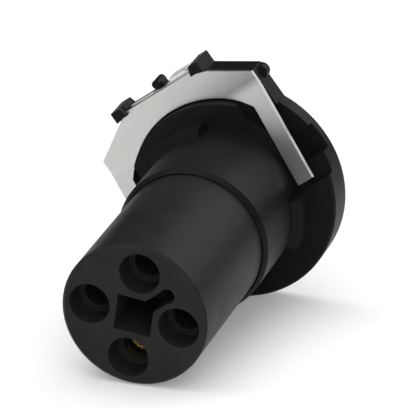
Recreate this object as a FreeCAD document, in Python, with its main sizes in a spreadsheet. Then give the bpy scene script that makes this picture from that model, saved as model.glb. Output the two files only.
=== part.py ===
import FreeCAD, Part
import math
import os
import Sketcher

# Panel mount power connector, four poles. All sizes in millimetres.
# Every piece is drawn in its own frame: local Z runs toward the wire end and
# local zero is the panel seat of the flange.
# The shared frame has its Y axis along the connector, the wire end toward minus Y
# and the mating end toward plus Y.
# Its origin lies on the axis, in the middle of the plain stretch of the barrel.

# Sizes of the round body
LEAVES = 5  # count of the leaves of the ground strip
origin_height = 13.35  # height of the shared origin over the panel seat, in the middle of the barrel
carrier_radius = 13.0  # radius of the wire end
seat_to_wire_face = 51.7  # panel seat to the face with the wire entries
seat_to_step = 21.2  # panel seat to the end of the barrel
barrel_radius = 13.9  # radius of the barrel behind the step
barrel_relief = 0.2  # step of the barrel between the lugs
barrel_bore_radius = 12.0  # bore that holds the contact carrier
barrel_lip_depth = 1.0  # depth of the counterbore at the barrel end
barrel_lip_gap = 0.2  # visible gap round the carrier at the barrel end
barrel_chamfer = 0.6  # chamfer of the barrel end
flange_radius = 20.0  # radius of the flange
flange_thickness = 6.8  # thickness of the flange
flange_edge = 0.4  # edge break of the flange
cavity_radius = 14.4  # radius of the mating cavity
cavity_floor = 0.8  # depth of the cavity floor below the panel seat
collar_reach = 1.7  # reach of the centring collar beyond the barrel
collar_height = 0.9  # height of the centring collar
# Sizes of the bed for the spring plate
bed_start = 6.0  # distance of the bed edge from the axis, on the side away from the heel
bed_depth = 1.9  # depth of the bed below the panel seat
arm_bed_start = 2.2  # edge of the deeper bed below the spring arms
arm_bed_end = 9.5  # other edge of the deeper bed
arm_bed_depth = 3.2  # depth of the bed below the spring arms
flat_gap = 0.3  # gap between the flats of the collar and the arms
flat_depth = 0.3  # depth of the flats below the panel seat
arm_bed_step = 0.1  # wall of the deeper bed outside the collar
notch_end = 3.0  # edge of the rim notch
notch_depth = 4.6  # depth of the rim notch
guide_gap = 0.3  # gap between the guide segment and the plate
guide_half_width = 12.0  # half width of the guide segment
guide_base = 8.0  # inner edge of the guide segment
# Sizes of the lugs on the collar
lug_step = 0.1  # step of the lugs below the collar radius
lug_height = 6.2  # height of the lugs over the panel seat
lug_slope = 0.9  # height of the slope at the lug front
lug_half_angle_heel = 22.0  # half angle of the lug at the heel, in degrees
lug_half_angle_side = 18.5  # half angle of the lugs at the side, in degrees
lug_side_angle = 42.5  # angle of the side lugs from the cross axis, in degrees
# Sizes of the spring plate
plate_thickness = 0.8  # sheet thickness of the spring plate
plate_half_width = 17.7  # half width of the spring plate
heel_top = 22.6  # heel edge of the plate from the axis
heel_half_width = 8.0  # half width of the heel edge
heel_shoulder = 17.0  # start of the slanted edges
plate_cut_radius = 18.4  # radius of the cut-out
arm_play = 0.55  # gap between the barrel and the arms
arm_end = 4.2  # end of the arms beyond the axis
bend_start = 15.6  # start of the bend
arm_angle = 13.0  # slope of the arms, in degrees
bend_radius = 9.0  # inner radius of the bend
# Sizes of the hooks and of the shelf that carries the plate
shelf_step = 0.5  # step of the shelf behind the mating face
shelf_base = 5.0  # inner edge of the shelf
hook_cover = 0.4  # reach of the hooks over the heel corner
hook_slant = 0.2  # step of the upper inner corner of the hooks
hook_width = 2.2  # reach of the hooks beyond the heel corner
hook_overhang = 1.2  # reach of the hooks beyond the heel edge
hook_grip = 0.6  # reach of the lips over the plate
hook_depth = 3.8  # reach of the hook roots into the shelf
hook_gap = 0.25  # gap between plate edge and hook
hook_lip = 0.9  # thickness of the hook lips
boss_radius = 1.45  # radius of the round bosses behind the plate corners
boss_drop = 1.5  # distance of the bosses from the corner, along the plate side
boss_step = 2.6  # step of the bosses below the bed of the plate
stop_step = 1.0  # step of the middle stop over the foot of the shelf
bump_radius = 0.8  # radius of the middle stop
bump_offset = 1.2  # distance of the middle stop beyond the heel edge
# Sizes of the ground strip below the heel
strip_side = 1.0  # step of the ground strip behind the heel corner
strip_thickness = 0.5  # sheet thickness of the ground strip
strip_gap = 0.6  # gap between plate and ground strip
strip_reach = 3.2  # reach of the ground strip below the heel
strip_overhang = 0.3  # reach of the ground strip beyond the heel edge
strip_notch = 1.7  # half width of the notch round the middle stop
leaf_start = 2.4  # start of the folded leaves
leaf_pitch = 0.85  # distance from leaf to leaf
leaf_width = 0.5  # width of the leaves
leaf_length = 3.9  # reach of the leaves toward the mating end
leaf_overhang = 0.8  # reach of the folded leaves beyond the heel edge
strip_clearance = 0.3  # side clearance of the ground strip
# Sizes of the contact carrier and the front insert
spigot_play = 0.3  # play of the carrier in the barrel
pitch_radius = 8.05  # radius of the circle through the contact centres
entry_radius = 3.66  # radius of the wire entries
entry_depth = 5.0  # depth of the wire entries
rear_bore_radius = 2.6  # bore behind the wire entries
front_bore_radius = 2.2  # bore round the contact sockets
contact_shoulder = 18.0  # seat of the contact collars over the panel seat
insert_split = 7.0  # joint between carrier and front insert
insert_front = 5.5  # front of the insert beyond the panel seat
carrier_edge = 0.5  # edge break of the wire face
key_half_side = 3.3  # half side of the square pocket
key_depth = 14.0  # depth of the square pocket
channel_width = 2.35  # width of the slanted channel
channel_reach = 7.5  # centre of the round channel end from the axis
channel_end_radius = 1.35  # radius of the round channel end
ring_groove_radius = 10.9  # bottom of the grooves for ring and seal
ring_groove_width = 1.2  # width of the ring groove
seal_groove_width = 1.3  # width of the seal groove
seal_radius = 0.54  # radius of the round seal cord
front_key_radius = 3.0  # radius of the coding recess in the front
front_key_depth = 5.0  # depth of the coding recess in the front
# Sizes of contacts and small parts
socket_radius = 1.7  # outer radius of the sockets
socket_bore_radius = 1.25  # bore of the sockets
socket_depth = 12.0  # depth of the socket bores
socket_slot = 0.5  # width of the socket slots
socket_recess = 1.2  # sockets behind the insert front
earth_lead = 0.8  # lead of the earth contact
collar_play = 0.1  # play of the contact collars in the rear bores
contact_collar_height = 1.8  # height of the contact collars
crimp_radius = 2.1  # outer radius of the crimp barrels
crimp_bore_radius = 1.6  # bore of the crimp barrels
crimp_depth = 9.0  # depth of the crimp bores
crimp_end = 34.0  # end of the crimp barrels over the panel seat
earth_crimp_end = 44.0  # end of the earth crimp barrel over the panel seat
sleeve_seat = 0.05  # play of the spring sleeves on the sockets
sleeve_wall = 0.2  # wall of the spring sleeves
sleeve_length = 9.0  # length of the spring sleeves
clip_seat = 0.05  # play of the clips on the crimp barrels
clip_play = 0.1  # play of the clips in the rear bores
clip_length = 4.0  # length of the retaining clips
clip_slot = 0.8  # slot of the retaining clips
ring_play = 0.1  # play of the snap ring in its groove
ring_outer = 13.0  # outer radius of the snap ring
ring_thickness = 1.0  # thickness of the snap ring
ring_opening = 3.0  # opening of the snap ring
gasket_width = 1.15  # width of the mating gasket
gasket_play = 0.05  # play of the mating gasket in the cavity
gasket_thickness = 1.6  # thickness of the mating gasket
coding_half_width = 1.5  # half width of the coding key
coding_reach = 12.6  # inner face of the coding key from the axis
coding_height = 2.6  # height of the coding key
coding_root = 1.0  # depth of the coding key in the wall
coding_play = 0.1  # play of the coding key in its slot

doc = FreeCAD.newDocument("panel_mount_connector")
sheet = doc.addObject("Spreadsheet::Sheet", "sizes")
row = 0


def size(name, number):
    """Puts one size into the sheet, with its name beside it."""
    global row
    row = row + 1
    sheet.set("A%d" % row, name.replace("_", " "))
    sheet.set("B%d" % row, str(number))
    sheet.setAlias("B%d" % row, name)

size("origin_height", origin_height)
size("carrier_radius", carrier_radius)
size("seat_to_wire_face", seat_to_wire_face)
size("seat_to_step", seat_to_step)
size("barrel_radius", barrel_radius)
size("barrel_relief", barrel_relief)
size("barrel_bore_radius", barrel_bore_radius)
size("barrel_lip_depth", barrel_lip_depth)
size("barrel_lip_gap", barrel_lip_gap)
size("barrel_chamfer", barrel_chamfer)
size("flange_radius", flange_radius)
size("flange_thickness", flange_thickness)
size("flange_edge", flange_edge)
size("cavity_radius", cavity_radius)
size("cavity_floor", cavity_floor)
size("collar_reach", collar_reach)
size("collar_height", collar_height)
size("bed_start", bed_start)
size("bed_depth", bed_depth)
size("arm_bed_start", arm_bed_start)
size("arm_bed_end", arm_bed_end)
size("arm_bed_depth", arm_bed_depth)
size("flat_gap", flat_gap)
size("flat_depth", flat_depth)
size("arm_bed_step", arm_bed_step)
size("notch_end", notch_end)
size("notch_depth", notch_depth)
size("guide_gap", guide_gap)
size("guide_half_width", guide_half_width)
size("guide_base", guide_base)
size("lug_step", lug_step)
size("lug_height", lug_height)
size("lug_slope", lug_slope)
size("lug_half_angle_heel", lug_half_angle_heel)
size("lug_half_angle_side", lug_half_angle_side)
size("lug_side_angle", lug_side_angle)
size("plate_thickness", plate_thickness)
size("plate_half_width", plate_half_width)
size("heel_top", heel_top)
size("heel_half_width", heel_half_width)
size("heel_shoulder", heel_shoulder)
size("plate_cut_radius", plate_cut_radius)
size("arm_play", arm_play)
size("arm_end", arm_end)
size("bend_start", bend_start)
size("arm_angle", arm_angle)
size("bend_radius", bend_radius)
size("shelf_step", shelf_step)
size("shelf_base", shelf_base)
size("hook_cover", hook_cover)
size("hook_slant", hook_slant)
size("hook_width", hook_width)
size("hook_overhang", hook_overhang)
size("hook_grip", hook_grip)
size("hook_depth", hook_depth)
size("hook_gap", hook_gap)
size("hook_lip", hook_lip)
size("boss_radius", boss_radius)
size("boss_drop", boss_drop)
size("boss_step", boss_step)
size("stop_step", stop_step)
size("bump_radius", bump_radius)
size("bump_offset", bump_offset)
size("strip_side", strip_side)
size("strip_thickness", strip_thickness)
size("strip_gap", strip_gap)
size("strip_reach", strip_reach)
size("strip_overhang", strip_overhang)
size("strip_notch", strip_notch)
size("leaf_start", leaf_start)
size("leaf_pitch", leaf_pitch)
size("leaf_width", leaf_width)
size("leaf_length", leaf_length)
size("leaf_overhang", leaf_overhang)
size("strip_clearance", strip_clearance)
size("spigot_play", spigot_play)
size("pitch_radius", pitch_radius)
size("entry_radius", entry_radius)
size("entry_depth", entry_depth)
size("rear_bore_radius", rear_bore_radius)
size("front_bore_radius", front_bore_radius)
size("contact_shoulder", contact_shoulder)
size("insert_split", insert_split)
size("insert_front", insert_front)
size("carrier_edge", carrier_edge)
size("key_half_side", key_half_side)
size("key_depth", key_depth)
size("channel_width", channel_width)
size("channel_reach", channel_reach)
size("channel_end_radius", channel_end_radius)
size("ring_groove_radius", ring_groove_radius)
size("ring_groove_width", ring_groove_width)
size("seal_groove_width", seal_groove_width)
size("seal_radius", seal_radius)
size("front_key_radius", front_key_radius)
size("front_key_depth", front_key_depth)
size("socket_radius", socket_radius)
size("socket_bore_radius", socket_bore_radius)
size("socket_depth", socket_depth)
size("socket_slot", socket_slot)
size("socket_recess", socket_recess)
size("earth_lead", earth_lead)
size("collar_play", collar_play)
size("contact_collar_height", contact_collar_height)
size("crimp_radius", crimp_radius)
size("crimp_bore_radius", crimp_bore_radius)
size("crimp_depth", crimp_depth)
size("crimp_end", crimp_end)
size("earth_crimp_end", earth_crimp_end)
size("sleeve_seat", sleeve_seat)
size("sleeve_wall", sleeve_wall)
size("sleeve_length", sleeve_length)
size("clip_seat", clip_seat)
size("clip_play", clip_play)
size("clip_length", clip_length)
size("clip_slot", clip_slot)
size("ring_play", ring_play)
size("ring_outer", ring_outer)
size("ring_thickness", ring_thickness)
size("ring_opening", ring_opening)
size("gasket_width", gasket_width)
size("gasket_play", gasket_play)
size("gasket_thickness", gasket_thickness)
size("coding_half_width", coding_half_width)
size("coding_reach", coding_reach)
size("coding_height", coding_height)
size("coding_root", coding_root)
size("coding_play", coding_play)
doc.recompute()


# Sizes that follow from others
strip_outer = "(sizes.heel_top + sizes.strip_overhang)"
leaf_outer = "(sizes.heel_top + sizes.leaf_overhang)"
strip_inner = "(sizes.heel_top - sizes.strip_reach)"
strip_half = "(sizes.heel_half_width - sizes.strip_side)"
hook_top = "(sizes.heel_top + sizes.hook_overhang)"
hook_low = "(sizes.heel_top - sizes.hook_grip)"
hook_root = "(sizes.heel_top - sizes.hook_depth)"
hook_inner = "(sizes.heel_half_width - sizes.hook_cover)"
hook_corner = "(sizes.heel_half_width + sizes.hook_slant)"
hook_outer = "(sizes.heel_half_width + sizes.hook_width)"
stop_centre = "(sizes.heel_top + sizes.bump_offset)"
guide_radius = "(sizes.plate_cut_radius - sizes.guide_gap)"
spigot_radius = "(sizes.barrel_bore_radius - sizes.spigot_play)"
collar_radius = "(sizes.barrel_radius + sizes.collar_reach)"
lug_radius = f"({collar_radius} - sizes.lug_step)"
arm_inner = "(sizes.barrel_radius + sizes.arm_play)"
flat_half = f"({arm_inner} - sizes.flat_gap)"
bed_wall = f"({collar_radius} + sizes.arm_bed_step)"
ring_inner = "(sizes.ring_groove_radius + sizes.ring_play)"
gasket_inner = "(sizes.cavity_radius - sizes.gasket_play - sizes.gasket_width)"
gasket_outer = "(sizes.cavity_radius - sizes.gasket_play)"
contact_collar = "(sizes.rear_bore_radius - sizes.collar_play)"
clip_outer = "(sizes.rear_bore_radius - sizes.clip_play)"
clip_inner = "(sizes.crimp_radius + sizes.clip_seat)"
sleeve_outer = "(sizes.socket_radius + sizes.sleeve_seat + sizes.sleeve_wall)"
sleeve_inner = "(sizes.socket_radius + sizes.sleeve_seat)"
shelf_bottom = "(sizes.flange_thickness - sizes.shelf_step)"


def value(text):
    """Present value of a text such as 'sizes.flange_radius - 2'."""
    return float(sheet.evalExpression(text))


def bind(obj, prop, text):
    obj.setExpression(prop, text)


def new_body(name):
    body = doc.addObject("PartDesign::Body", name)
    body.Label = name
    return body


def plane_of(body, role):
    for item in body.Origin.OriginFeatures:
        if item.Role == role:
            return item
    raise RuntimeError("no plane " + role)


def new_sketch(body, name, role, height="0"):
    """Sketch on an origin plane, lifted along the plane's normal."""
    sketch = body.newObject("Sketcher::SketchObject", name)
    sketch.AttachmentSupport = [(plane_of(body, role), "")]
    sketch.MapMode = "FlatFace"
    if height != "0":
        bind(sketch, "AttachmentOffset.Base.z", height)
    return sketch


def hold(sketch, geo, point, across, up):
    """Holds one point of a sketch by its two distances from the sketch origin."""
    if across == "0":
        sketch.addConstraint(Sketcher.Constraint("PointOnObject", geo, point, -2))
    else:
        number = sketch.addConstraint(Sketcher.Constraint("DistanceX", -1, 1, geo, point, value(across)))
        bind(sketch, "Constraints[%d]" % number, across)
    if up == "0":
        sketch.addConstraint(Sketcher.Constraint("PointOnObject", geo, point, -1))
    else:
        number = sketch.addConstraint(Sketcher.Constraint("DistanceY", -1, 1, geo, point, value(up)))
        bind(sketch, "Constraints[%d]" % number, up)


def outline(sketch, corners):
    """Closed outline of straight lines."""
    count = len(corners)
    points = [FreeCAD.Vector(value(a), value(b), 0) for a, b in corners]
    first = sketch.GeometryCount
    for i in range(count):
        sketch.addGeometry(Part.LineSegment(points[i], points[(i + 1) % count]), False)
    for i in range(count):
        sketch.addConstraint(Sketcher.Constraint("Coincident", first + i, 2, first + (i + 1) % count, 1))
    for i in range(count):
        hold(sketch, first + i, 1, corners[i][0], corners[i][1])


def circle(sketch, across, up, radius):
    centre = FreeCAD.Vector(value(across), value(up), 0)
    geo = sketch.addGeometry(Part.Circle(centre, FreeCAD.Vector(0, 0, 1), value(radius)), False)
    if across == "0" and up == "0":
        sketch.addConstraint(Sketcher.Constraint("Coincident", geo, 3, -1, 1))
    else:
        hold(sketch, geo, 3, across, up)
    number = sketch.addConstraint(Sketcher.Constraint("Radius", geo, value(radius)))
    bind(sketch, "Constraints[%d]" % number, radius)


def circle_segment(sketch, radius, base, half_width, half_chord):
    """Strip between two side lines, closed by a straight base and by an arc round the origin."""
    r = value(radius)
    w = value(half_width)
    b = value(base)
    top = value(half_chord)
    a = FreeCAD.Vector(-w, b, 0)
    c = FreeCAD.Vector(w, b, 0)
    d = FreeCAD.Vector(w, top, 0)
    e = FreeCAD.Vector(-w, top, 0)
    low = sketch.addGeometry(Part.LineSegment(a, c), False)
    right = sketch.addGeometry(Part.LineSegment(c, d), False)
    round_edge = Part.Circle(FreeCAD.Vector(0, 0, 0), FreeCAD.Vector(0, 0, 1), r)
    arc = sketch.addGeometry(Part.ArcOfCircle(round_edge, math.atan2(top, w), math.atan2(top, -w)), False)
    left = sketch.addGeometry(Part.LineSegment(e, a), False)
    sketch.addConstraint(Sketcher.Constraint("Coincident", arc, 3, -1, 1))
    sketch.addConstraint(Sketcher.Constraint("Coincident", low, 2, right, 1))
    sketch.addConstraint(Sketcher.Constraint("Coincident", right, 2, arc, 1))
    sketch.addConstraint(Sketcher.Constraint("Coincident", arc, 2, left, 1))
    sketch.addConstraint(Sketcher.Constraint("Coincident", left, 2, low, 1))
    sketch.addConstraint(Sketcher.Constraint("Vertical", right))
    sketch.addConstraint(Sketcher.Constraint("Vertical", left))
    hold(sketch, low, 1, "-1 * (%s)" % half_width, base)
    hold(sketch, low, 2, half_width, base)
    number = sketch.addConstraint(Sketcher.Constraint("Radius", arc, r))
    bind(sketch, "Constraints[%d]" % number, radius)


def turn(body, name, corners, cut=False):
    """Turned shape round the local Z axis; corners are radius and height."""
    sketch = new_sketch(body, name + "_outline", "XZ_Plane")
    outline(sketch, corners)
    kind = "PartDesign::Groove" if cut else "PartDesign::Revolution"
    feature = body.newObject(kind, name)
    feature.Profile = sketch
    feature.ReferenceAxis = (sketch, ["V_Axis"])
    feature.Angle = 360
    return finish_feature(body, feature, cut)


def finish_feature(body, feature, cut):
    before = body.Tip
    volume = None
    previous = feature.BaseFeature
    if previous is not None:
        volume = previous.Shape.Volume
    body.Tip = feature
    doc.recompute()
    if not feature.isValid():
        raise RuntimeError("feature failed: " + feature.Name)
    if volume is not None and cut and feature.Shape.Volume > volume - 0.01:
        raise RuntimeError("nothing was cut by " + feature.Name)
    if volume is not None and not cut and feature.Shape.Volume < volume + 0.001:
        raise RuntimeError("nothing was added by " + feature.Name)
    return feature


def raise_from(body, name, draw, bottom, height):
    """Pad of a drawn outline, from bottom upward."""
    sketch = new_sketch(body, name + "_outline", "XY_Plane", bottom)
    draw(sketch)
    feature = body.newObject("PartDesign::Pad", name)
    feature.Profile = sketch
    feature.Length = value(height)
    bind(feature, "Length", height)
    return finish_feature(body, feature, False)


def sink_from(body, name, draw, top, depth):
    """Pocket of a drawn outline, from top downward."""
    sketch = new_sketch(body, name + "_outline", "XY_Plane", top)
    draw(sketch)
    feature = body.newObject("PartDesign::Pocket", name)
    feature.Profile = sketch
    feature.Length = value(depth)
    bind(feature, "Length", depth)
    return finish_feature(body, feature, True)


def mirrored(corners):
    return [("-1 * (%s)" % a if a != "0" else "0", b) for a, b in corners]


TOWARD_MINUS_Y = FreeCAD.Rotation(FreeCAD.Vector(1, 0, 0), 90)
EIGHTH_TURN = FreeCAD.Rotation(FreeCAD.Vector(0, 0, 1), 45)
SEAT = FreeCAD.Vector(0, value("sizes.origin_height"), 0)
STRAIGHT = FreeCAD.Placement(SEAT, TOWARD_MINUS_Y)
SLANTED = FreeCAD.Placement(SEAT, TOWARD_MINUS_Y.multiply(EIGHTH_TURN))
nodes = []


def hand_in(obj, name, placement):
    obj.Label = name
    obj.Placement = placement
    bind(obj, "Placement.Base.y", "sizes.origin_height")
    nodes.append(obj)


# Flange housing, drawn with local Y toward the heel of the spring plate
housing = new_body("flange_housing")
turn(housing, "flange_and_barrel", [
    ("0", "-sizes.flange_thickness"),
    ("sizes.flange_radius - sizes.flange_edge", "-sizes.flange_thickness"),
    ("sizes.flange_radius", "sizes.flange_edge - sizes.flange_thickness"),
    ("sizes.flange_radius", "-sizes.flange_edge"),
    ("sizes.flange_radius - sizes.flange_edge", "0"),
    ("sizes.barrel_radius - sizes.barrel_relief", "0"),
    ("sizes.barrel_radius - sizes.barrel_relief", "sizes.lug_height"),
    ("sizes.barrel_radius", "sizes.lug_height"),
    ("sizes.barrel_radius", "sizes.seat_to_step - sizes.barrel_chamfer * 1.5"),
    ("sizes.barrel_radius - sizes.barrel_chamfer", "sizes.seat_to_step"),
    ("0", "sizes.seat_to_step"),
])


def draw_shelf(sketch):
    outline(sketch, [
        ("-sizes.plate_half_width", "sizes.shelf_base"),
        ("sizes.plate_half_width", "sizes.shelf_base"),
        ("sizes.plate_half_width", "sizes.heel_shoulder"),
        ("sizes.heel_half_width", "sizes.heel_top"),
        ("-sizes.heel_half_width", "sizes.heel_top"),
        ("-sizes.plate_half_width", "sizes.heel_shoulder"),
    ])


raise_from(housing, "shelf", draw_shelf, f"-1 * {shelf_bottom}", f"{shelf_bottom} - sizes.bed_depth")


def draw_bosses(sketch):
    for side in ("", "-1 * "):
        circle(sketch, side + "(sizes.plate_half_width - 0.4 * sizes.boss_radius)",
               "sizes.heel_shoulder - sizes.boss_drop", "sizes.boss_radius")


raise_from(housing, "corner_bosses", draw_bosses, f"-1 * {shelf_bottom}",
           f"{shelf_bottom} - sizes.bed_depth - sizes.boss_step")


def draw_bed(sketch):
    outline(sketch, [
        ("-sizes.flange_radius - 2", "-sizes.bed_start"),
        ("sizes.flange_radius + 2", "-sizes.bed_start"),
        ("sizes.flange_radius + 2", "sizes.heel_top + 3"),
        ("-sizes.flange_radius - 2", "sizes.heel_top + 3"),
    ])


sink_from(housing, "plate_bed", draw_bed, "sizes.collar_height", "sizes.collar_height + sizes.bed_depth")

def draw_guide(sketch):
    circle_segment(sketch, guide_radius, "sizes.guide_base", "sizes.guide_half_width",
                   f"sqrt({guide_radius} * {guide_radius} - sizes.guide_half_width * sizes.guide_half_width)")


raise_from(housing, "plate_guide", draw_guide, "-sizes.bed_depth - 0.5",
           "sizes.bed_depth + 0.5 + sizes.collar_height")


def draw_collar(sketch):
    circle(sketch, "0", "0", collar_radius)


raise_from(housing, "collar", draw_collar, "-sizes.notch_depth", "sizes.notch_depth + sizes.collar_height")


arm_bed_corners = [
    (bed_wall, "-sizes.arm_bed_start"),
    ("sizes.flange_radius + 2", "-sizes.arm_bed_start"),
    ("sizes.flange_radius + 2", "sizes.arm_bed_end"),
    (bed_wall, "sizes.arm_bed_end"),
]


def draw_arm_beds(sketch):
    outline(sketch, arm_bed_corners)
    outline(sketch, mirrored(arm_bed_corners))


sink_from(housing, "arm_beds", draw_arm_beds, "sizes.collar_height",
          "sizes.collar_height + sizes.arm_bed_depth")

flat_corners = [
    (flat_half, "-sizes.bed_start"),
    (f"{bed_wall} + 0.5", "-sizes.bed_start"),
    (f"{bed_wall} + 0.5", "sizes.arm_bed_end"),
    (flat_half, "sizes.arm_bed_end"),
]


def draw_flats(sketch):
    outline(sketch, flat_corners)
    outline(sketch, mirrored(flat_corners))


sink_from(housing, "collar_flats", draw_flats, "sizes.collar_height",
          "sizes.collar_height + sizes.flat_depth")

notch_corners = [
    (bed_wall, "-sizes.arm_bed_start"),
    ("sizes.flange_radius + 2", "-sizes.arm_bed_start"),
    ("sizes.flange_radius + 2", "sizes.notch_end"),
    (bed_wall, "sizes.notch_end"),
]


def draw_notches(sketch):
    outline(sketch, notch_corners)
    outline(sketch, mirrored(notch_corners))


sink_from(housing, "rim_notches", draw_notches, "0", "sizes.notch_depth")


def draw_lug(sketch, middle, half_angle):
    """Ring sector between the barrel and the lug radius, its sides radial."""
    inner = "(sizes.barrel_bore_radius + 0.6)"
    start = "(%s - %s)" % (middle, half_angle)
    end = "(%s + %s)" % (middle, half_angle)
    a = math.radians(value(start))
    b = math.radians(value(end))
    r = value(inner)
    big = value(lug_radius)
    p = [FreeCAD.Vector(r * math.cos(a), r * math.sin(a), 0)]
    p.append(FreeCAD.Vector(big * math.cos(a), big * math.sin(a), 0))
    p.append(FreeCAD.Vector(big * math.cos(b), big * math.sin(b), 0))
    p.append(FreeCAD.Vector(r * math.cos(b), r * math.sin(b), 0))
    up = FreeCAD.Vector(0, 0, 1)
    middle_point = FreeCAD.Vector(0, 0, 0)
    first = sketch.addGeometry(Part.LineSegment(p[0], p[1]), False)
    outer = sketch.addGeometry(Part.ArcOfCircle(Part.Circle(middle_point, up, big), a, b), False)
    last = sketch.addGeometry(Part.LineSegment(p[2], p[3]), False)
    small = sketch.addGeometry(Part.ArcOfCircle(Part.Circle(middle_point, up, r), a, b), False)
    sketch.addConstraint(Sketcher.Constraint("Coincident", first, 2, outer, 1))
    sketch.addConstraint(Sketcher.Constraint("Coincident", outer, 2, last, 1))
    sketch.addConstraint(Sketcher.Constraint("Coincident", last, 2, small, 2))
    sketch.addConstraint(Sketcher.Constraint("Coincident", small, 1, first, 1))
    sketch.addConstraint(Sketcher.Constraint("Coincident", outer, 3, -1, 1))
    sketch.addConstraint(Sketcher.Constraint("Coincident", small, 3, -1, 1))
    hold(sketch, first, 1, "%s * cos(%s * 1deg)" % (inner, start), "%s * sin(%s * 1deg)" % (inner, start))
    across = " * cos(%s * 1deg)" % start
    rise = " * sin(%s * 1deg)" % start
    hold(sketch, first, 2, lug_radius + across, lug_radius + rise)
    number = sketch.addConstraint(Sketcher.Constraint("DistanceX", -1, 1, last, 1, p[2].x))
    bind(sketch, "Constraints[%d]" % number, (lug_radius + " * cos(%s * 1deg)") % end)
    number = sketch.addConstraint(Sketcher.Constraint("DistanceX", -1, 1, last, 2, p[3].x))
    bind(sketch, "Constraints[%d]" % number, "%s * cos(%s * 1deg)" % (inner, end))


def draw_heel_lug(sketch):
    draw_lug(sketch, "90", "sizes.lug_half_angle_heel")


def draw_right_lug(sketch):
    draw_lug(sketch, "-sizes.lug_side_angle", "sizes.lug_half_angle_side")


def draw_left_lug(sketch):
    draw_lug(sketch, "(180 + sizes.lug_side_angle)", "sizes.lug_half_angle_side")


raise_from(housing, "heel_lug", draw_heel_lug, "0", "sizes.lug_height")
raise_from(housing, "right_lug", draw_right_lug, "0", "sizes.lug_height")
raise_from(housing, "left_lug", draw_left_lug, "0", "sizes.lug_height")
turn(housing, "lug_front_slope", [
    ("sizes.barrel_radius", "sizes.lug_height"),
    (f"{lug_radius} + 0.5", "sizes.lug_height - sizes.lug_slope"),
    (f"{lug_radius} + 0.5", "sizes.lug_height + 1"),
    ("sizes.barrel_radius", "sizes.lug_height + 1"),
], True)

root_corners = [
    (hook_inner, hook_root),
    (hook_outer, hook_root),
    (hook_outer, hook_top),
    (hook_corner, hook_top),
    (hook_inner, hook_low),
]
slant = "(sizes.heel_top - sizes.heel_shoulder) / (sizes.plate_half_width - sizes.heel_half_width)"
edge_at = "(sizes.heel_top - (%s - sizes.heel_half_width) * " + slant + " + sizes.hook_gap * 1.16)"
post_corners = [
    (hook_corner, edge_at % hook_corner),
    (hook_outer, edge_at % hook_outer),
    (hook_outer, hook_top),
    (hook_corner, hook_top),
]
lip_corners = [
    (hook_inner, hook_low),
    (f"{hook_corner} + 0.6", hook_low),
    (hook_outer, edge_at % hook_outer),
    (hook_outer, hook_top),
    (hook_corner, hook_top),
]


def draw_roots(sketch):
    outline(sketch, root_corners)
    outline(sketch, mirrored(root_corners))


def draw_posts(sketch):
    outline(sketch, post_corners)
    outline(sketch, mirrored(post_corners))


def draw_lips(sketch):
    outline(sketch, lip_corners)
    outline(sketch, mirrored(lip_corners))


raise_from(housing, "hook_roots", draw_roots, f"-1 * {shelf_bottom}", f"{shelf_bottom} - sizes.bed_depth")
raise_from(housing, "hook_posts", draw_posts, "-sizes.bed_depth - 0.2", "sizes.plate_thickness + 0.2")
raise_from(housing, "hook_lips", draw_lips, "-sizes.bed_depth + sizes.plate_thickness", "sizes.hook_lip")


strip_bottom = "(sizes.bed_depth + sizes.strip_gap + sizes.strip_thickness)"


def draw_strip_bed(sketch):
    outline(sketch, [
        (f"-1 * {hook_inner} - sizes.strip_clearance", f"{strip_inner} - sizes.strip_clearance"),
        (f"{hook_inner} + sizes.strip_clearance", f"{strip_inner} - sizes.strip_clearance"),
        (f"{hook_inner} + sizes.strip_clearance", hook_top),
        (f"-1 * {hook_inner} - sizes.strip_clearance", hook_top),
    ])


sink_from(housing, "strip_bed", draw_strip_bed, "-sizes.bed_depth", "sizes.strip_gap + sizes.strip_thickness")


def draw_stop_tab(sketch):
    outline(sketch, [
        ("-sizes.bump_radius", "sizes.heel_top - sizes.bump_radius"),
        ("sizes.bump_radius", "sizes.heel_top - sizes.bump_radius"),
        ("sizes.bump_radius", stop_centre),
        ("-sizes.bump_radius", stop_centre),
    ])


def draw_stop(sketch):
    circle(sketch, "0", stop_centre, "sizes.bump_radius")


raise_from(housing, "middle_stop_tab", draw_stop_tab, f"-1 * {shelf_bottom} + sizes.stop_step",
           f"{shelf_bottom} - sizes.stop_step - {strip_bottom}")
raise_from(housing, "middle_stop", draw_stop, f"-1 * {shelf_bottom} + sizes.stop_step",
           f"{shelf_bottom} - sizes.stop_step - sizes.bed_depth")
turn(housing, "carrier_bore", [
    ("0", "sizes.seat_to_step + 1"),
    ("sizes.carrier_radius + sizes.barrel_lip_gap", "sizes.seat_to_step + 1"),
    ("sizes.carrier_radius + sizes.barrel_lip_gap", "sizes.seat_to_step - sizes.barrel_lip_depth"),
    ("sizes.barrel_bore_radius", "sizes.seat_to_step - sizes.barrel_lip_depth"),
    ("sizes.barrel_bore_radius", "-sizes.cavity_floor"),
    ("sizes.cavity_radius", "-sizes.cavity_floor"),
    ("sizes.cavity_radius", "-sizes.flange_thickness - 1"),
    ("0", "-sizes.flange_thickness - 1"),
], True)


def draw_coding_slot(sketch):
    outline(sketch, [
        ("-sizes.coding_half_width - sizes.coding_play", "-sizes.cavity_radius - sizes.coding_root"),
        ("sizes.coding_half_width + sizes.coding_play", "-sizes.cavity_radius - sizes.coding_root"),
        ("sizes.coding_half_width + sizes.coding_play", "-sizes.cavity_radius + 1"),
        ("-sizes.coding_half_width - sizes.coding_play", "-sizes.cavity_radius + 1"),
    ])


sink_from(housing, "coding_slot", draw_coding_slot, "-sizes.flange_thickness + sizes.coding_height",
          "sizes.coding_height + 1")
hand_in(housing, "flange_housing", SLANTED)

# Contact carrier with the wire entries, drawn with local Y toward the upper entry
poles = [
    ("0", "sizes.pitch_radius"),
    ("-sizes.pitch_radius", "0"),
    ("sizes.pitch_radius", "0"),
    ("0", "-sizes.pitch_radius"),
]


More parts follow.
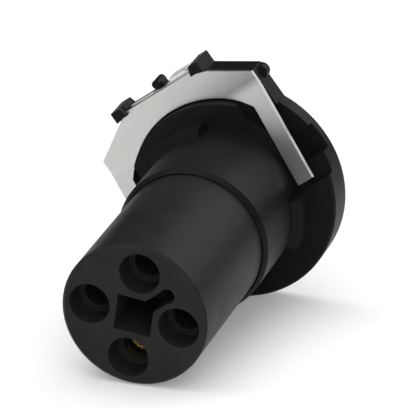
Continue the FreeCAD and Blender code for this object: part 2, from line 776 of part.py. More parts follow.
def four_circles(radius):
    def draw(sketch):
        for across, up in poles:
            circle(sketch, across, up, radius)
    return draw


carrier = new_body("contact_carrier")
turn(carrier, "carrier_form", [
    ("0", "sizes.insert_split"),
    (spigot_radius, "sizes.insert_split"),
    (spigot_radius, "sizes.seat_to_step - sizes.barrel_lip_depth"),
    ("sizes.carrier_radius", "sizes.seat_to_step - sizes.barrel_lip_depth"),
    ("sizes.carrier_radius", "sizes.seat_to_wire_face - sizes.carrier_edge"),
    ("sizes.carrier_radius - sizes.carrier_edge", "sizes.seat_to_wire_face"),
    ("0", "sizes.seat_to_wire_face"),
])
sink_from(carrier, "wire_entries", four_circles("sizes.entry_radius"), "sizes.seat_to_wire_face",
          "sizes.entry_depth")
sink_from(carrier, "rear_bores", four_circles("sizes.rear_bore_radius"), "sizes.seat_to_wire_face",
          "sizes.seat_to_wire_face - sizes.contact_shoulder")
sink_from(carrier, "front_bores", four_circles("sizes.front_bore_radius"), "sizes.contact_shoulder",
          "sizes.contact_shoulder - sizes.insert_split")


def draw_square(sketch):
    outline(sketch, [
        ("-sizes.key_half_side", "-sizes.key_half_side"),
        ("sizes.key_half_side", "-sizes.key_half_side"),
        ("sizes.key_half_side", "sizes.key_half_side"),
        ("-sizes.key_half_side", "sizes.key_half_side"),
    ])


def draw_channel(sketch):
    outline(sketch, [
        ("(1.5 + sizes.channel_width / 2) * cos(45deg)", "(1.5 - sizes.channel_width / 2) * cos(45deg)"),
        ("(sizes.channel_reach + sizes.channel_width / 2) * cos(45deg)",
         "(sizes.channel_reach - sizes.channel_width / 2) * cos(45deg)"),
        ("(sizes.channel_reach - sizes.channel_width / 2) * cos(45deg)",
         "(sizes.channel_reach + sizes.channel_width / 2) * cos(45deg)"),
        ("(1.5 - sizes.channel_width / 2) * cos(45deg)", "(1.5 + sizes.channel_width / 2) * cos(45deg)"),
    ])


def draw_channel_end(sketch):
    end = "sizes.channel_reach * cos(45deg)"
    circle(sketch, end, end, "sizes.channel_end_radius")


sink_from(carrier, "square_pocket", draw_square, "sizes.seat_to_wire_face", "sizes.key_depth")
sink_from(carrier, "channel", draw_channel, "sizes.seat_to_wire_face", "sizes.key_depth")
sink_from(carrier, "channel_end", draw_channel_end, "sizes.seat_to_wire_face", "sizes.key_depth")
turn(carrier, "seal_groove", [
    ("sizes.ring_groove_radius", "sizes.insert_split + 2"),
    (f"{spigot_radius} + 1", "sizes.insert_split + 2"),
    (f"{spigot_radius} + 1", "sizes.insert_split + 2 + sizes.seal_groove_width"),
    ("sizes.ring_groove_radius", "sizes.insert_split + 2 + sizes.seal_groove_width"),
], True)
hand_in(carrier, "contact_carrier", STRAIGHT)

# Front insert, the mating side of the carrier
insert = new_body("front_insert")
turn(insert, "insert_form", [
    ("0", "-sizes.insert_front"),
    (f"{spigot_radius} - sizes.carrier_edge", "-sizes.insert_front"),
    (spigot_radius, "sizes.carrier_edge - sizes.insert_front"),
    (spigot_radius, "sizes.insert_split"),
    ("0", "sizes.insert_split"),
])
sink_from(insert, "socket_bores", four_circles("sizes.front_bore_radius"), "sizes.insert_split",
          "sizes.insert_split + sizes.insert_front + 1")


def draw_coding_recess(sketch):
    outline(sketch, [
        ("-sizes.front_key_radius", "-sizes.front_key_radius"),
        ("sizes.front_key_radius", "-sizes.front_key_radius"),
        ("sizes.front_key_radius", "sizes.front_key_radius"),
        ("-sizes.front_key_radius", "sizes.front_key_radius"),
    ])


sink_from(insert, "coding_recess", draw_coding_recess, "sizes.front_key_depth - sizes.insert_front",
          "sizes.front_key_depth + 1")
turn(insert, "ring_groove", [
    ("sizes.ring_groove_radius", "-sizes.cavity_floor - sizes.ring_groove_width"),
    (f"{spigot_radius} + 1", "-sizes.cavity_floor - sizes.ring_groove_width"),
    (f"{spigot_radius} + 1", "-sizes.cavity_floor"),
    ("sizes.ring_groove_radius", "-sizes.cavity_floor"),
], True)
hand_in(insert, "front_insert", STRAIGHT)

# Spring plate with its two raised arms
plate = new_body("spring_plate")
profile = new_sketch(plate, "plate_profile", "YZ_Plane")
near = "(sizes.plate_thickness - sizes.bed_depth)"
far = "(-1 * sizes.bed_depth)"
outer_radius = "(sizes.bend_radius + sizes.plate_thickness)"
near_bend_s = "(sizes.bend_start - sizes.bend_radius * sin(sizes.arm_angle * 1deg))"
near_bend_z = "(%s + sizes.bend_radius - sizes.bend_radius * cos(sizes.arm_angle * 1deg))" % near
far_bend_s = "(sizes.bend_start - %s * sin(sizes.arm_angle * 1deg))" % outer_radius
far_bend_z = "(%s + sizes.bend_radius - %s * cos(sizes.arm_angle * 1deg))" % (near, outer_radius)
tip_z = "(%s + (%s + sizes.arm_end) * tan(sizes.arm_angle * 1deg))" % (near_bend_z, near_bend_s)
corners = [
    ("sizes.heel_top", near),
    ("sizes.bend_start", near),
    (near_bend_s, near_bend_z),
    ("-sizes.arm_end", tip_z),
    ("-sizes.arm_end - sizes.plate_thickness * sin(sizes.arm_angle * 1deg)",
     "%s - sizes.plate_thickness * cos(sizes.arm_angle * 1deg)" % tip_z),
    (far_bend_s, far_bend_z),
    ("sizes.bend_start", far),
    ("sizes.heel_top", far),
]
points = [FreeCAD.Vector(value(a), value(b), 0) for a, b in corners]
bends = {1: "sizes.bend_radius", 5: outer_radius}
centre = FreeCAD.Vector(value("sizes.bend_start"), value("%s + sizes.bend_radius" % near), 0)
for i in range(len(points)):
    begin = points[i]
    end = points[(i + 1) % len(points)]
    if i in bends:
        round_edge = Part.Circle(centre, FreeCAD.Vector(0, 0, 1), value(bends[i]))
        low = -math.pi / 2 - math.radians(value("sizes.arm_angle"))
        profile.addGeometry(Part.ArcOfCircle(round_edge, low, -math.pi / 2), False)
    else:
        profile.addGeometry(Part.LineSegment(begin, end), False)


def ends(index):
    """Point numbers of the begin and the end of an edge; the near bend arc runs backwards."""
    return (2, 1) if index == 1 else (1, 2)


for i in range(len(points)):
    following = (i + 1) % len(points)
    profile.addConstraint(Sketcher.Constraint("Coincident", i, ends(i)[1], following, ends(following)[0]))
for i in range(len(points)):
    hold(profile, i, ends(i)[0], corners[i][0], corners[i][1])
for i in sorted(bends):
    number = profile.addConstraint(Sketcher.Constraint("Radius", i, value(bends[i])))
    bind(profile, "Constraints[%d]" % number, bends[i])
sheet_form = plate.newObject("PartDesign::Pad", "sheet_form")
sheet_form.Profile = profile
sheet_form.Midplane = True
sheet_form.Length = value("2 * sizes.plate_half_width")
bind(sheet_form, "Length", "2 * sizes.plate_half_width")
finish_feature(plate, sheet_form, False)


def draw_plate_opening(sketch):
    circle_segment(sketch, "sizes.plate_cut_radius", "-sizes.arm_end - 3", arm_inner,
                   f"sqrt(sizes.plate_cut_radius * sizes.plate_cut_radius - {arm_inner} * {arm_inner})")


slanted_corner = [
    ("sizes.heel_half_width", "sizes.heel_top"),
    ("sizes.plate_half_width", "sizes.heel_shoulder"),
    ("sizes.plate_half_width + 2", "sizes.heel_shoulder"),
    ("sizes.plate_half_width + 2", "sizes.heel_top + 2"),
    ("sizes.heel_half_width", "sizes.heel_top + 2"),
]


def draw_slanted_corners(sketch):
    outline(sketch, slanted_corner)
    outline(sketch, mirrored(slanted_corner))


sink_from(plate, "plate_opening", draw_plate_opening, "12", "20")
sink_from(plate, "slanted_corners", draw_slanted_corners, "12", "20")
hand_in(plate, "spring_plate", SLANTED)


def box(name, left, right, low, high, bottom, top):
    """Box between six limits, all read from the sheet."""
    item = doc.addObject("Part::Box", name)
    bind(item, "Length", "%s - (%s)" % (right, left))
    bind(item, "Width", "%s - (%s)" % (high, low))
    bind(item, "Height", "%s - (%s)" % (top, bottom))
    bind(item, "Placement.Base.x", left)
    bind(item, "Placement.Base.y", low)
    bind(item, "Placement.Base.z", bottom)
    return item


def cylinder(name, radius, bottom, height):
    item = doc.addObject("Part::Cylinder", name)
    bind(item, "Radius", radius)
    bind(item, "Height", height)
    bind(item, "Placement.Base.z", bottom)
    return item


def less(name, base, tool):
    item = doc.addObject("Part::Cut", name)
    item.Base = base
    item.Tool = tool
    doc.recompute()
    if item.Shape.Volume > base.Shape.Volume - 0.001:
        raise RuntimeError("nothing was cut by " + name)
    return item


def tube(name, outer, inner, bottom, height):
    solid = cylinder(name + "_outer", outer, bottom, height)
    hole = cylinder(name + "_inner", inner, bottom + " - 1", height + " + 2")
    return less(name + "_tube", solid, hole)


# Ground strip below the heel, folded into three leaves on one side
top_1 = "(-1 * (sizes.bed_depth + sizes.strip_gap))"
low_1 = "(%s - sizes.strip_thickness)" % top_1
leaf_end = f"(sizes.leaf_start + {LEAVES - 1} * sizes.leaf_pitch + sizes.leaf_width)"
strip_flat = box("strip_flat", f"-1 * {strip_half}", strip_half,
                 strip_inner, strip_outer, low_1, top_1)
strip_tab = box("strip_tab", "sizes.leaf_start", leaf_end,
                f"{strip_outer} - sizes.strip_thickness", leaf_outer, low_1, top_1)
leaves = []
for number in range(LEAVES):
    left = f"(sizes.leaf_start + {number} * sizes.leaf_pitch)"
    leaves.append(box("leaf_%d" % (number + 1), left, f"{left} + sizes.leaf_width",
                      f"{leaf_outer} - sizes.strip_thickness", leaf_outer,
                      f"{top_1} - sizes.leaf_length", top_1))
strip_joined = doc.addObject("Part::MultiFuse", "strip_joined")
strip_joined.Shapes = [strip_flat, strip_tab] + leaves
doc.recompute()
strip_notch_box = box("strip_notch_box", "-1 * sizes.strip_notch", "sizes.strip_notch",
                      f"{stop_centre} - sizes.bump_radius - sizes.strip_clearance",
                      f"{strip_outer} + 1", f"{low_1} - 0.1", f"{top_1} + 1")
hand_in(less("ground_strip", strip_joined, strip_notch_box), "ground_strip", SLANTED)

# Snap ring that holds the insert against the cavity floor
ring_tube = tube("snap_ring", "sizes.ring_outer", ring_inner,
                 "-1 * (sizes.cavity_floor + sizes.ring_thickness)", "sizes.ring_thickness")
ring_gap = box("snap_ring_gap", "-1 * sizes.ring_opening / 2", "sizes.ring_opening / 2",
               "-1 * sizes.ring_outer - 1", f"-1 * {ring_inner} + 1",
               "-1 * (sizes.cavity_floor + sizes.ring_thickness) - 1", "1")
hand_in(less("snap_ring", ring_tube, ring_gap), "snap_ring", SLANTED)

# Seal cord of the carrier
seal = doc.addObject("Part::Torus", "carrier_seal")
bind(seal, "Radius1", "(sizes.ring_groove_radius + sizes.barrel_bore_radius) / 2")
bind(seal, "Radius2", "sizes.seal_radius")
seal.Placement = STRAIGHT
nodes.append(seal)
bind(seal, "Placement.Base.y",
     "sizes.origin_height - (sizes.insert_split + 2 + sizes.seal_groove_width / 2)")

# Gasket of the mating side
hand_in(tube("mating_gasket", gasket_outer, gasket_inner,
             "-1 * (sizes.cavity_floor + sizes.gasket_thickness)", "sizes.gasket_thickness"),
        "mating_gasket", STRAIGHT)

# Coding key in the wall of the mating cavity
coding_key = new_body("coding_key")


def draw_coding_key(sketch):
    outline(sketch, [
        ("-sizes.coding_half_width", "-sizes.cavity_radius - sizes.coding_root + sizes.coding_play"),
        ("sizes.coding_half_width", "-sizes.cavity_radius - sizes.coding_root + sizes.coding_play"),
        ("sizes.coding_half_width", "-sizes.coding_reach"),
        ("-sizes.coding_half_width", "-sizes.coding_reach"),
    ])


raise_from(coding_key, "key_form", draw_coding_key, "-sizes.flange_thickness", "sizes.coding_height")
hand_in(coding_key, "coding_key", SLANTED)


def contact(name, bottom, crimp_end):
    """Turned contact with a slotted socket toward the mate and a crimp barrel toward the wire."""
    body = new_body(name)
    shoulder_top = "(sizes.contact_shoulder + sizes.contact_collar_height)"
    turn(body, name + "_form", [
        ("0", "%s + sizes.socket_depth" % bottom),
        ("sizes.socket_bore_radius", "%s + sizes.socket_depth" % bottom),
        ("sizes.socket_bore_radius", bottom),
        ("sizes.socket_radius", bottom),
        ("sizes.socket_radius", "sizes.contact_shoulder"),
        (contact_collar, "sizes.contact_shoulder"),
        (contact_collar, shoulder_top),
        ("sizes.crimp_radius", shoulder_top),
        ("sizes.crimp_radius", crimp_end),
        ("sizes.crimp_bore_radius", crimp_end),
        ("sizes.crimp_bore_radius", "%s - sizes.crimp_depth" % crimp_end),
        ("0", "%s - sizes.crimp_depth" % crimp_end),
    ])

    def draw_slot(sketch):
        outline(sketch, [
            ("-sizes.socket_slot / 2", "-sizes.socket_radius - 1"),
            ("sizes.socket_slot / 2", "-sizes.socket_radius - 1"),
            ("sizes.socket_slot / 2", "sizes.socket_radius + 1"),
            ("-sizes.socket_slot / 2", "sizes.socket_radius + 1"),
        ])

    sink_from(body, name + "_slot", draw_slot, "%s + sizes.socket_depth - 2" % bottom, "sizes.socket_depth")
    return body


def set_pole(obj, across, up):
    """Moves a small part onto its pole."""
    obj.Placement = STRAIGHT
    bind(obj, "Placement.Base.y", "sizes.origin_height")
    bind(obj, "Placement.Base.x", across)
    bind(obj, "Placement.Base.z", up)
    nodes.append(obj)


socket_end = "(sizes.socket_recess - sizes.insert_front)"
earth_socket_end = "(sizes.socket_recess - sizes.earth_lead - sizes.insert_front)"
pole_names = ["pole_2", "pole_3", "pole_1", "earth"]
for (across, up), pole in zip(poles, pole_names):
    is_earth = pole == "earth"
    bottom = earth_socket_end if is_earth else socket_end
    crimp_end = "sizes.earth_crimp_end" if is_earth else "sizes.crimp_end"
    set_pole(contact("contact_" + pole, bottom, crimp_end), across, up)
    set_pole(tube("sleeve_" + pole, sleeve_outer, sleeve_inner, bottom + " + 0.6",
                  "sizes.sleeve_length"), across, up)
    nodes[-1].Label = "sleeve_" + pole
    clip = tube("clip_" + pole, clip_outer, clip_inner,
                "sizes.contact_shoulder + sizes.contact_collar_height", "sizes.clip_length")
    slot = box("clip_slot_" + pole, "-1 * sizes.clip_slot / 2", "sizes.clip_slot / 2", "0",
               f"{clip_outer} + 1", "sizes.contact_shoulder", "sizes.contact_shoulder + 10")
    set_pole(less("clip_" + pole, clip, slot), across, up)
    nodes[-1].Label = "clip_" + pole

doc.recompute()
os.makedirs("parts", exist_ok=True)
for obj in doc.Objects:
    if "Invalid" in obj.State or "Error" in obj.State:
        raise RuntimeError("object in error: " + obj.Name)
for obj in nodes:
    shape = obj.Shape
    if shape.isNull() or not shape.isValid() or shape.Volume <= 0:
        raise RuntimeError("bad shape: " + obj.Label)
    if len(shape.Solids) != 1:
        raise RuntimeError("not one solid: " + obj.Label)
    shape.exportStep("parts/" + obj.Label + ".step")
    box_of = shape.BoundBox
    print("%-18s volume %9.1f  x %6.1f %6.1f  y %6.1f %6.1f  z %6.1f %6.1f" % (
        obj.Label, shape.Volume, box_of.XMin, box_of.XMax, box_of.YMin, box_of.YMax, box_of.ZMin, box_of.ZMax))
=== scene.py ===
import math

import bpy
from mathutils import Matrix, Vector


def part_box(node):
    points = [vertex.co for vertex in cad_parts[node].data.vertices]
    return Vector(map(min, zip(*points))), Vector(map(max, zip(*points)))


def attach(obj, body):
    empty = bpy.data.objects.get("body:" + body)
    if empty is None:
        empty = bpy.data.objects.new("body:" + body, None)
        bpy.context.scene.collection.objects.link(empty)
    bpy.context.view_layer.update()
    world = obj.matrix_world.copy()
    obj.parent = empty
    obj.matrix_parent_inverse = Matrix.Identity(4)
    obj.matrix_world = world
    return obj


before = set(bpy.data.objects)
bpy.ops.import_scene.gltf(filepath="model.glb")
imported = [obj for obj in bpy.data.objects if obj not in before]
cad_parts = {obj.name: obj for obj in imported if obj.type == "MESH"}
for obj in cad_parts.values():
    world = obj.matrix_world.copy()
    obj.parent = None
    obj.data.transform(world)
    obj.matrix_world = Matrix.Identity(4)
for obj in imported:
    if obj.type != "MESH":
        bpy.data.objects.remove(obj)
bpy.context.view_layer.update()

# Sizes and places, in metres, in the shared frame
MM = 0.001
NEAR_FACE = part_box("contact_carrier")[0].y

# Camera, as the photograph was taken: angles in degrees, lens and sensor in millimetres
VIEW_TARGET = Vector((0.00060, -0.00528, 0.00681))
VIEW_DISTANCE = 0.7184
VIEW_AZIMUTH = 14.86
VIEW_ELEVATION = 26.78
VIEW_ROLL = 8.20
VIEW_LENS = 361.7
SENSOR_WIDTH = 36.0
VIEW_NEAREST = 0.05
VIEW_FARTHEST = 50

# Floor: the plane on which the connector's two rims rest in the photograph
FLOOR_POINT = Vector((0.001987, -0.03785, -0.012847))
FLOOR_NORMAL = Vector((-0.151451, 0.134428, 0.979281)).normalized()
FLOOR_HALF_SIZE = 6.0
FLOOR_DROP = 0.2 * MM
FLOOR_WHITE = (0.9, 0.9, 0.9, 1)
FLOOR_GLOW = 0.2

# Studio: soft bright sides of the room, as turn from straight behind the connector, height over
# the floor, angles at which the side is still full and is gone (all in degrees), and strength
SKY_SIDES = {
    "key": (37, 27, 6, 26, 2.2),
    "front_low": (180, 15, 8, 48, 2.3),
    "left_high": (-90, 50, 8, 48, 0.8),
    "top": (0, 90, 8, 48, 1.7),
}
FULL_WHITE = (1, 1, 1, 1)

# Marks beside the wire entries: angle in degrees and reach from the axis
MARK_PLACES = {
    "1": (38, 10.7 * MM),
    "2": (133, 10.4 * MM),
    "3": (222, 10.2 * MM),
    "earth": (314, 10.2 * MM),
}
MARK_RADIUS = 1.75 * MM
MARK_LINE = 0.13 * MM
MARK_BAR = 0.22 * MM
NUMBER_SIZE = 2.6 * MM
NUMBER_RELIEF = 0.10 * MM
RING_SEGMENTS = 48
RING_SIDES = 8
EARTH_STEM_LIFT = 0.5 * MM
EARTH_STEM_LENGTH = 0.9 * MM
EARTH_BAR_WIDTHS = (1.8 * MM, 1.2 * MM, 0.6 * MM)
EARTH_BAR_PITCH = 0.35 * MM
UPRIGHT = (math.radians(90), 0, 0)

# Colours of the finishes
# The housing is darker than the carrier partly as a blacker plastic, partly as painted shade for
# the dim flange
HOUSING_BLACK = (0.0085, 0.0085, 0.0083)
CARRIER_BLACK = (0.0190, 0.0190, 0.0185)
INSERT_BLACK = (0.0080, 0.0080, 0.0080)
KEY_BLACK = (0.0090, 0.0090, 0.0090)
SEAL_BLACK = (0.0070, 0.0070, 0.0072)
PLATE_GREY = (0.5500, 0.5500, 0.5363)
STRIP_GREY = (0.70, 0.70, 0.68)
RING_GREY = (0.46, 0.46, 0.45)
CLIP_GREY = (0.60, 0.60, 0.58)
BRASS = (0.72, 0.50, 0.16)

# Optics and textures of the finishes: noise scales are cells to the metre
PLASTIC_IOR = 1.15
PLASTIC_ROUGHNESS = 0.42
SHEET_LINE_STRETCH = (1, 1, 0.03)
TURNED_LINE_STRETCH = (0.05, 1, 0.05)
SHEET_SLANT = (0, math.radians(135), 0)
NOISE_LOW = 0.3
NOISE_HIGH = 0.7
BLOOM_LOW = 0.35
EDGE_FLAT = 1.0
EDGE_SHARP = 0.86
EDGE_SAMPLES = 6
PLASTIC_EDGE = 0.18 * MM
SHEET_EDGE = 0.12 * MM
TURNED_EDGE = 0.10 * MM
PLASTIC_BUMP = 0.05 * MM
METAL_BUMP = 0.03 * MM


def shader_tree(name):
    """New node material: the material, its node tree and its Principled shader."""
    material = bpy.data.materials.new(name)
    material.use_nodes = True
    tree = material.node_tree
    shader = tree.nodes["Principled BSDF"]
    return material, tree, shader


def add_node(tree, kind, settings=None, inputs=None):
    """Adds a node; inputs are numbers, colours or sockets of other nodes."""
    new = tree.nodes.new(kind)
    for key, setting in (settings or {}).items():
        setattr(new, key, setting)
    for key, given in (inputs or {}).items():
        if isinstance(given, bpy.types.NodeSocket):
            tree.links.new(given, new.inputs[key])
        else:
            new.inputs[key].default_value = given
    return new


def scaled_place(tree, scale=(1, 1, 1), turn=(0, 0, 0)):
    """The piece's own place, turned and scaled, for textures."""
    place = add_node(tree, "ShaderNodeTexCoord")
    mapping = add_node(tree, "ShaderNodeMapping", None, {
        "Vector": place.outputs["Object"],
        "Rotation": turn,
        "Scale": scale,
    })
    return mapping.outputs["Vector"]


def noise(tree, place, scale, detail, roughness):
    texture = add_node(tree, "ShaderNodeTexNoise", None, {
        "Vector": place,
        "Scale": scale,
        "Detail": detail,
        "Roughness": roughness,
    })
    return texture.outputs["Fac"]


def remap(tree, given, low, high, new_low, new_high):
    """Linear change of range, held at its ends."""
    change = add_node(tree, "ShaderNodeMapRange", None, {
        "Value": given,
        "From Min": low,
        "From Max": high,
        "To Min": new_low,
        "To Max": new_high,
    })
    return change.outputs["Result"]


def spread(tree, cloud, low, high):
    """A noise, spread over the range from low to high."""
    return remap(tree, cloud, NOISE_LOW, NOISE_HIGH, low, high)


def edge_mask(tree, radius):
    """One at an edge sharper than the radius, zero on plain surfaces, and the rounded normal."""
    rounded = add_node(tree, "ShaderNodeBevel", {"samples": EDGE_SAMPLES}, {"Radius": radius})
    surface = add_node(tree, "ShaderNodeNewGeometry")
    alike = add_node(tree, "ShaderNodeVectorMath", {"operation": "DOT_PRODUCT"}, {
        0: rounded.outputs["Normal"],
        1: surface.outputs["Normal"],
    })
    edge = remap(tree, alike.outputs["Value"], EDGE_FLAT, EDGE_SHARP, 0, 1)
    return edge, rounded.outputs["Normal"]


def blend_colours(tree, amount, first, second):
    """Mix of two colours; each is a tuple or a socket, as the amount is a socket."""
    mix = add_node(tree, "ShaderNodeMix", {"data_type": "RGBA"})
    for key, given in ((0, amount), (6, first), (7, second)):
        if isinstance(given, bpy.types.NodeSocket):
            tree.links.new(given, mix.inputs[key])
        else:
            mix.inputs[key].default_value = (*given, 1)
    return mix.outputs[2]


def lighter(colour, factor):
    return tuple(min(1.0, channel * factor) for channel in colour)


def vary(tree, cloud, colour, low, high):
    """The colour, between low and high times as bright."""
    amount = spread(tree, cloud, 0, 1)
    return blend_colours(tree, amount, lighter(colour, low), lighter(colour, high))


def paint_edge_highlight(tree, edge, body, colour, share, factor):
    """The body, blended by the share at its edges toward the colour times the factor: a painted
    highlight on the edges.
    """
    return blend_colours(tree, remap(tree, edge, 0, 1, 0, share), body, lighter(colour, factor))


def add_bump(tree, shader, height, strength, distance, rounded=None):
    inputs = {"Height": height, "Strength": strength, "Distance": distance}
    if rounded is not None:
        inputs["Normal"] = rounded
    bump = add_node(tree, "ShaderNodeBump", None, inputs)
    tree.links.new(bump.outputs["Normal"], shader.inputs["Normal"])


def moulded_plastic(name, colour):
    """Eroded mould surface: fine grain, cloudy gloss, and paler edges that are a painted
    highlight.
    """
    material, tree, shader = shader_tree(name)
    place = scaled_place(tree)
    cloud = noise(tree, place, scale=220, detail=4, roughness=0.6)
    grains = noise(tree, place, scale=9000, detail=2, roughness=0.7)
    edge, rounded = edge_mask(tree, PLASTIC_EDGE)
    body = vary(tree, cloud, colour, low=0.88, high=1.12)
    # Painted highlight: the edges are blended toward a paler colour
    edge_highlit = paint_edge_highlight(tree, edge, body, colour, share=0.6, factor=2.4)
    gloss = spread(tree, cloud, PLASTIC_ROUGHNESS - 0.05, PLASTIC_ROUGHNESS + 0.05)
    tree.links.new(edge_highlit, shader.inputs["Base Color"])
    tree.links.new(gloss, shader.inputs["Roughness"])
    add_bump(tree, shader, grains, strength=0.06, distance=PLASTIC_BUMP, rounded=rounded)
    shader.inputs["IOR"].default_value = PLASTIC_IOR
    return material


def rolled_steel(name, colour, roughness):
    """Cold-rolled sheet: long rolling lines, faint clouding and sheared edges painted brighter as
    a highlight.
    """
    material, tree, shader = shader_tree(name)
    lines_place = scaled_place(tree, SHEET_LINE_STRETCH, SHEET_SLANT)
    lines = noise(tree, lines_place, scale=3600, detail=2, roughness=0.5)
    cloud = noise(tree, scaled_place(tree), scale=160, detail=1, roughness=0.4)
    edge, rounded = edge_mask(tree, SHEET_EDGE)
    body = vary(tree, lines, colour, low=0.97, high=1.03)
    # Painted highlight: the edges are blended toward a brighter colour
    bright = paint_edge_highlight(tree, edge, body, colour, share=0.7, factor=1.35)
    gloss = spread(tree, cloud, roughness - 0.02, roughness + 0.03)
    tree.links.new(bright, shader.inputs["Base Color"])
    tree.links.new(gloss, shader.inputs["Roughness"])
    shader.inputs["Metallic"].default_value = 1.0
    add_bump(tree, shader, lines, strength=0.03, distance=METAL_BUMP, rounded=rounded)
    return material


def turned_metal(name, colour, roughness):
    """Turned and plated metal: rings from the tool round the connector's axis."""
    material, tree, shader = shader_tree(name)
    rings_place = scaled_place(tree, TURNED_LINE_STRETCH)
    rings = noise(tree, rings_place, scale=9000, detail=2, roughness=0.5)
    cloud = noise(tree, scaled_place(tree), scale=500, detail=3, roughness=0.5)
    edge, rounded = edge_mask(tree, TURNED_EDGE)
    body = vary(tree, cloud, colour, low=0.86, high=1.1)
    # Painted highlight: the edges are blended toward a brighter colour
    bright = paint_edge_highlight(tree, edge, body, colour, share=0.5, factor=1.3)
    gloss = spread(tree, cloud, roughness - 0.05, roughness + 0.08)
    tree.links.new(bright, shader.inputs["Base Color"])
    tree.links.new(gloss, shader.inputs["Roughness"])
    shader.inputs["Metallic"].default_value = 1.0
    add_bump(tree, shader, rings, strength=0.12, distance=METAL_BUMP, rounded=rounded)
    return material


def soft_rubber(name, colour):
    """Moulded seal rubber: dull, with a dusty bloom."""
    material, tree, shader = shader_tree(name)
    cloud = noise(tree, scaled_place(tree), scale=600, detail=4, roughness=0.6)
    bloom = remap(tree, cloud, BLOOM_LOW, NOISE_HIGH, 0, 1)
    body = blend_colours(tree, bloom, colour, lighter(colour, 1.8))
    tree.links.new(body, shader.inputs["Base Color"])
    tree.links.new(spread(tree, cloud, 0.6, 0.75), shader.inputs["Roughness"])
    add_bump(tree, shader, cloud, strength=0.1, distance=PLASTIC_BUMP)
    return material


def dress(node, material):
    """Gives a node of the frame its finish."""
    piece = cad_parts[node]
    if not piece.material_slots:
        piece.data.materials.append(material)
    for holder in piece.material_slots:
        holder.material = material


# Finishes of the frame's nodes
housing_finish = moulded_plastic("housing_plastic", HOUSING_BLACK)
carrier_finish = moulded_plastic("carrier_plastic", CARRIER_BLACK)
insert_finish = moulded_plastic("insert_plastic", INSERT_BLACK)
key_finish = moulded_plastic("coding_plastic", KEY_BLACK)
seal_finish = soft_rubber("seal_rubber", SEAL_BLACK)
plate_finish = rolled_steel("plate_steel", PLATE_GREY, roughness=0.36)
strip_finish = rolled_steel("strip_steel", STRIP_GREY, roughness=0.3)
ring_finish = turned_metal("ring_steel", RING_GREY, roughness=0.35)
clip_finish = turned_metal("clip_steel", CLIP_GREY, roughness=0.3)
sleeve_finish = turned_metal("sleeve_steel", CLIP_GREY, roughness=0.28)
contact_finish = turned_metal("contact_brass", BRASS, roughness=0.24)

dress("flange_housing", housing_finish)
dress("contact_carrier", carrier_finish)
dress("front_insert", insert_finish)
dress("coding_key", key_finish)
dress("carrier_seal", seal_finish)
dress("mating_gasket", seal_finish)
dress("spring_plate", plate_finish)
dress("ground_strip", strip_finish)
dress("snap_ring", ring_finish)
for pole in ("pole_1", "pole_2", "pole_3", "earth"):
    dress("contact_" + pole, contact_finish)
    dress("sleeve_" + pole, sleeve_finish)
    dress("clip_" + pole, clip_finish)


# Marks on the near face
def hand_in(piece, material):
    """A piece of the object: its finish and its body."""
    piece.data.materials.clear()
    piece.data.materials.append(material)
    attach(piece, "root")
    return piece


def make_ring(name, middle, radius, thickness):
    bpy.ops.mesh.primitive_torus_add(
        major_radius=radius,
        minor_radius=thickness,
        major_segments=RING_SEGMENTS,
        minor_segments=RING_SIDES,
        location=middle,
        rotation=UPRIGHT,
    )
    ring = bpy.context.object
    ring.name = name
    return hand_in(ring, carrier_finish)


def make_number(name, text, middle):
    """Raised numeral that reads upright from the wire side."""
    bpy.ops.object.text_add(location=middle, rotation=UPRIGHT)
    numeral = bpy.context.object
    numeral.data.body = text
    numeral.data.size = NUMBER_SIZE
    numeral.data.extrude = NUMBER_RELIEF
    numeral.data.align_x = "CENTER"
    numeral.data.align_y = "CENTER"
    bpy.ops.object.convert(target="MESH")
    numeral = bpy.context.object
    numeral.name = name
    return hand_in(numeral, carrier_finish)


def make_bar(name, middle, width, height):
    bpy.ops.mesh.primitive_cube_add(size=1, location=middle)
    bar = bpy.context.object
    bar.name = name
    bar.scale = (width, 2 * NUMBER_RELIEF, height)
    bpy.ops.object.transform_apply(location=False, rotation=False, scale=True)
    return hand_in(bar, carrier_finish)


def number_place(angle, reach):
    a = math.radians(angle)
    return Vector((reach * math.cos(a), NEAR_FACE, reach * math.sin(a)))


def make_earth_sign(middle):
    """A stem above three bars that get shorter downward."""
    stem_middle = middle + Vector((0, 0, EARTH_STEM_LIFT))
    make_bar("mark_earth_stem", stem_middle, MARK_BAR, EARTH_STEM_LENGTH)
    for step, width in enumerate(EARTH_BAR_WIDTHS):
        bar_middle = middle - Vector((0, 0, EARTH_BAR_PITCH * step))
        make_bar("mark_earth_bar_%d" % (step + 1), bar_middle, width, MARK_BAR)


def make_pole_marks():
    """Raised circles beside the wire entries, with the pole numbers and the earth sign."""
    for mark, (angle, reach) in MARK_PLACES.items():
        middle = number_place(angle, reach)
        make_ring("mark_ring_" + mark, middle, MARK_RADIUS, MARK_LINE)
        if mark == "earth":
            make_earth_sign(middle)
        else:
            make_number("mark_number_" + mark, mark, middle)


# Floor, light and camera
def view_back():
    """Direction from the connector to the camera."""
    a = math.radians(VIEW_AZIMUTH)
    e = math.radians(VIEW_ELEVATION)
    return Vector((math.sin(a) * math.cos(e), -math.cos(a) * math.cos(e), math.sin(e)))


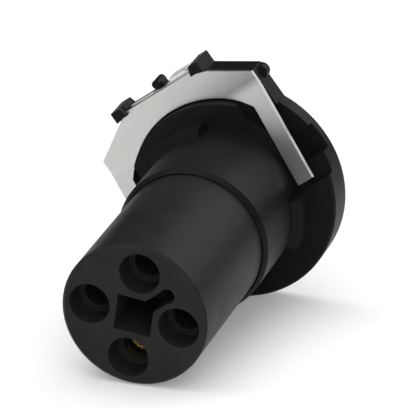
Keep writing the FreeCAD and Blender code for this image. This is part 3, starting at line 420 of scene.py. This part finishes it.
def make_floor():
    """White floor that also glows for the rays that show it, but doesn't light the object more."""
    bpy.ops.mesh.primitive_plane_add(size=2 * FLOOR_HALF_SIZE)
    floor = bpy.context.object
    floor.name = "studio_floor"
    floor.rotation_mode = "QUATERNION"
    floor.rotation_quaternion = FLOOR_NORMAL.to_track_quat("Z", "Y")
    floor.location = FLOOR_POINT - FLOOR_NORMAL * FLOOR_DROP
    material, tree, shader = shader_tree("floor_white")
    shader.inputs["Base Color"].default_value = FLOOR_WHITE
    shader.inputs["Roughness"].default_value = 1.0
    shader.inputs["Specular IOR Level"].default_value = 0.0
    path = add_node(tree, "ShaderNodeLightPath")
    seen = path.outputs["Is Camera Ray"]
    for ray in ("Is Glossy Ray", "Is Transmission Ray"):
        either = add_node(tree, "ShaderNodeMath", {"operation": "MAXIMUM"}, {
            0: seen,
            1: path.outputs[ray],
        })
        seen = either.outputs["Value"]
    glow = add_node(tree, "ShaderNodeMath", {"operation": "MULTIPLY"}, {0: seen, 1: FLOOR_GLOW})
    shader.inputs["Emission Color"].default_value = FULL_WHITE
    tree.links.new(glow.outputs["Value"], shader.inputs["Emission Strength"])
    floor.data.materials.append(material)


def studio_side(turn, height):
    """Direction in the studio, turned to the right from straight behind the connector."""
    back = view_back()
    behind = (FLOOR_NORMAL * back.dot(FLOOR_NORMAL) - back).normalized()
    right = behind.cross(FLOOR_NORMAL)
    t = math.radians(turn)
    h = math.radians(height)
    level = behind * math.cos(t) + right * math.sin(t)
    return level * math.cos(h) + FLOOR_NORMAL * math.sin(h)


def make_world():
    """Dark room whose bright sides add up."""
    world = bpy.data.worlds.new("studio_world")
    bpy.context.scene.world = world
    world.use_nodes = True
    tree = world.node_tree
    sky = tree.nodes["Background"]
    place = add_node(tree, "ShaderNodeTexCoord")
    total = None
    for turn, height, full, gone, strength in SKY_SIDES.values():
        toward = add_node(tree, "ShaderNodeVectorMath", {"operation": "DOT_PRODUCT"}, {
            0: place.outputs["Generated"],
            1: studio_side(turn, height),
        })
        level = add_node(tree, "ShaderNodeMapRange", {"interpolation_type": "SMOOTHSTEP"}, {
            "Value": toward.outputs["Value"],
            "From Min": math.cos(math.radians(gone)),
            "From Max": math.cos(math.radians(full)),
            "To Min": 0.0,
            "To Max": strength,
        })
        if total is None:
            total = level.outputs["Result"]
            continue
        joined = add_node(tree, "ShaderNodeMath", {"operation": "ADD"}, {
            0: total,
            1: level.outputs["Result"],
        })
        total = joined.outputs["Value"]
    tree.links.new(total, sky.inputs["Strength"])
    sky.inputs["Color"].default_value = FULL_WHITE


def make_camera():
    back = view_back()
    a = math.radians(VIEW_AZIMUTH)
    level = Vector((math.cos(a), math.sin(a), 0))
    turn = Matrix.Rotation(math.radians(VIEW_ROLL), 3, back)
    right = turn @ level
    up = back.cross(right)
    data = bpy.data.cameras.new("camera")
    data.sensor_width = SENSOR_WIDTH
    data.lens = VIEW_LENS
    data.clip_start = VIEW_NEAREST
    data.clip_end = VIEW_FARTHEST
    camera = bpy.data.objects.new("camera", data)
    bpy.context.scene.collection.objects.link(camera)
    place = VIEW_TARGET + back * VIEW_DISTANCE
    rotation = Matrix((right, up, back)).transposed().to_4x4()
    camera.matrix_world = Matrix.Translation(place) @ rotation
    bpy.context.scene.camera = camera


make_pole_marks()
make_floor()
make_world()
make_camera()
bpy.context.scene.view_settings.view_transform = "Standard"
